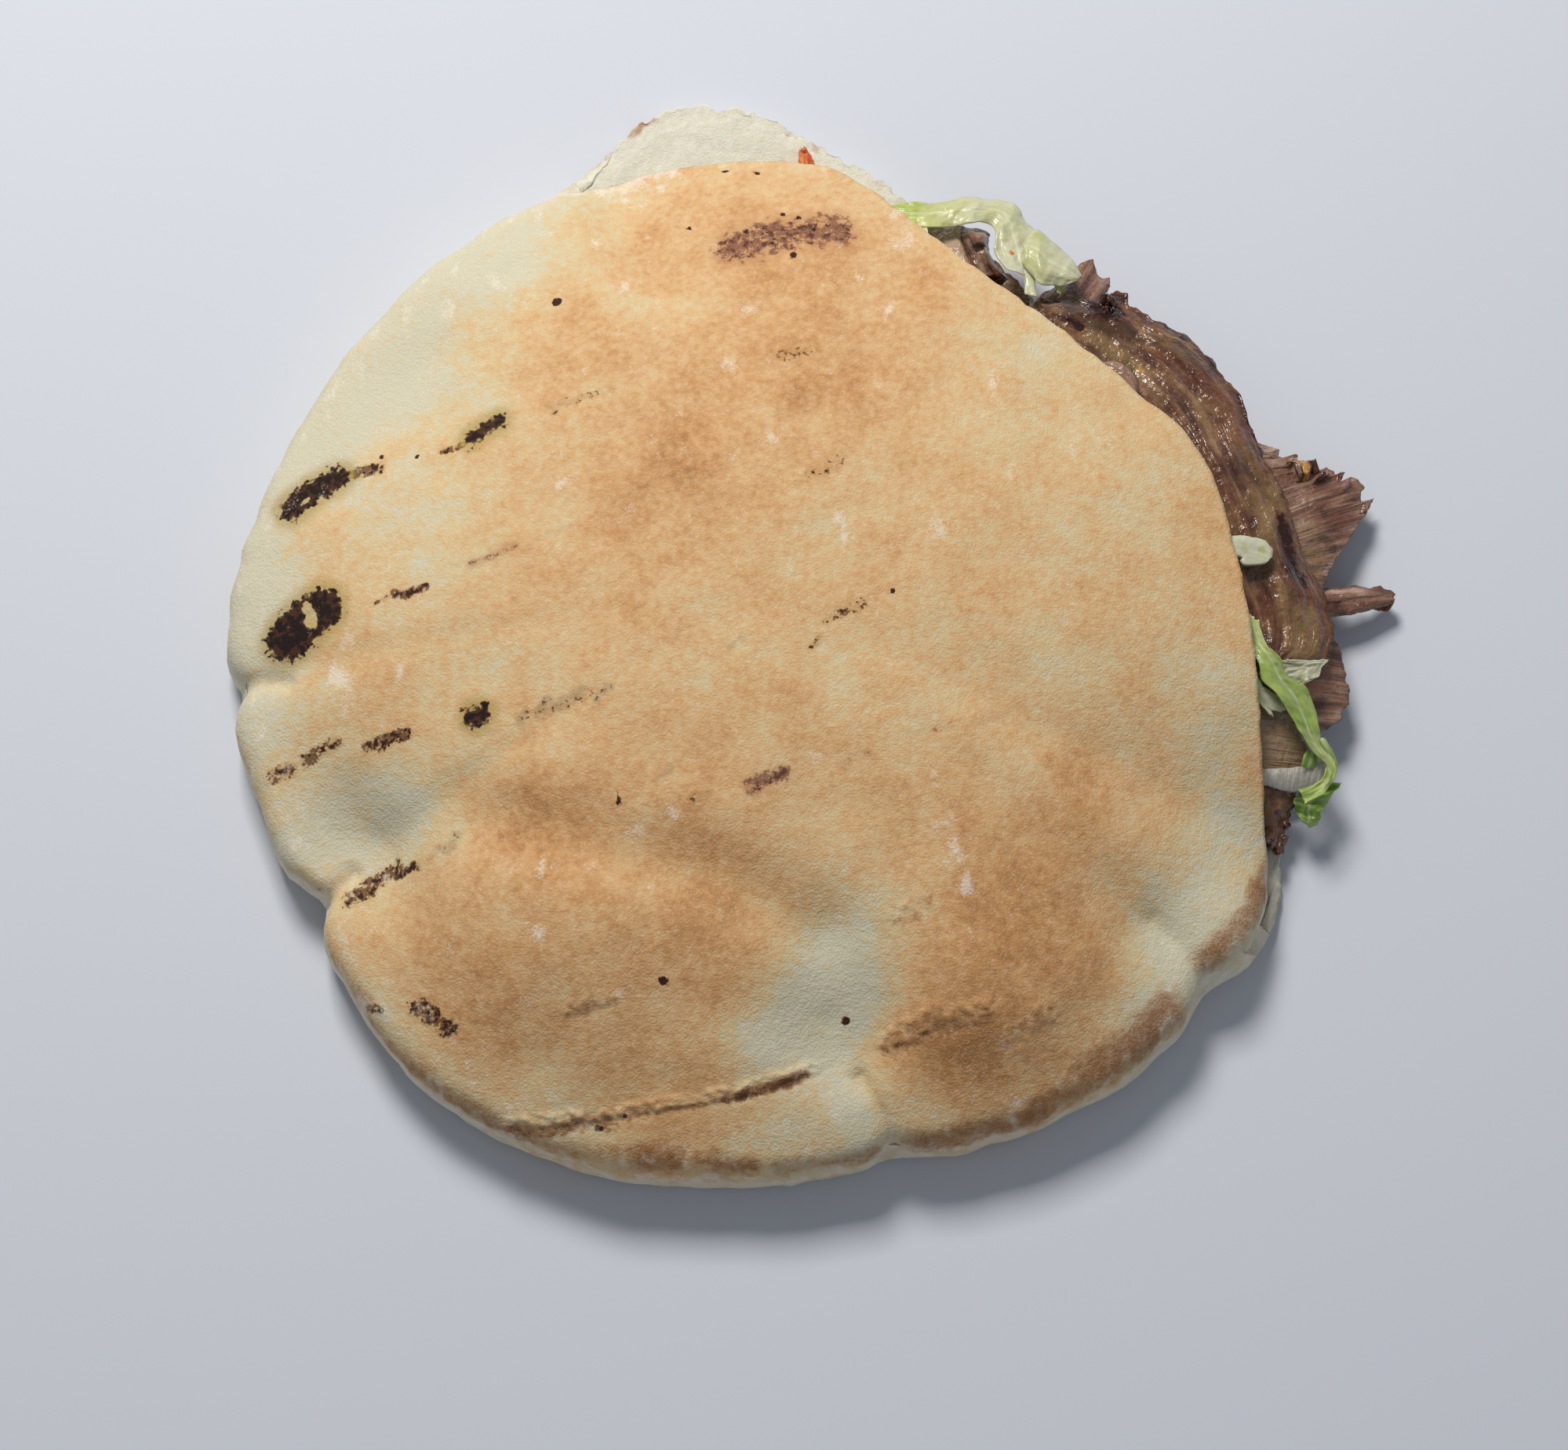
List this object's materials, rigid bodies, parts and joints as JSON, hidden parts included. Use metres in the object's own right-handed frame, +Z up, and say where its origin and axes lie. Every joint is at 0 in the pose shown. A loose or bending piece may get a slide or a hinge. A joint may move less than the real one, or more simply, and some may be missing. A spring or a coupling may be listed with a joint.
{
  "type": "filled pita bread",
  "caption": "Round baked pita pocket bread, cut open along one side, with grilled meat slices, lettuce shreds, onion and carrot in its pocket, resting flat.",
  "frame": {"origin": "on the resting surface, under the middle of the whole filled bread", "axes": "+Z up; +X towards the cut mouth, along the longest extent; +Y to the left of someone who looks out of the mouth"},
  "size_m": [0.2235, 0.2134, 0.036],
  "materials": {
    "baked_dough": "matte baked crust, pale cream with toasted patches, dark grill marks and a dusting of flour",
    "grilled_meat": "moist grilled brown meat with dark charred streaks",
    "pale_meat": "moist grey-pink cooked meat with visible fibres",
    "green_leaf": "thin wet green leaf, slightly translucent",
    "pale_leaf": "thin wet pale yellow-green leaf, translucent, with whitish ribs",
    "raw_onion": "thin glossy translucent white",
    "raw_carrot": "satin orange"
  },
  "bodies": {
    "root": {"bread": "baked_dough", "lettuce_bed": "green_leaf", "meat_inner_bottom": "pale_meat", "meat_inner_middle": "pale_meat", "meat_inner_top": "grilled_meat", "lettuce_inner_top": "pale_leaf", "meat_grilled_slice": "grilled_meat", "meat_lobe_slice": "pale_meat", "meat_tucked_slice": "pale_meat", "meat_charred_end": "grilled_meat", "meat_frayed_fan": "pale_meat", "meat_ragged_slice": "pale_meat", "meat_standing_slice": "pale_meat", "meat_curled_scrap": "pale_meat", "meat_finger_strip": "pale_meat", "lettuce_folded_leaf": "pale_leaf", "lettuce_pale_leaf": "pale_leaf", "lettuce_rib": "pale_leaf", "lettuce_long_shred": "green_leaf", "lettuce_frilled_tip": "green_leaf", "lettuce_white_leaf": "pale_leaf", "lettuce_sliver": "green_leaf", "onion_strip": "raw_onion", "carrot_sliver": "raw_carrot"}
  },
  "joints": []
}
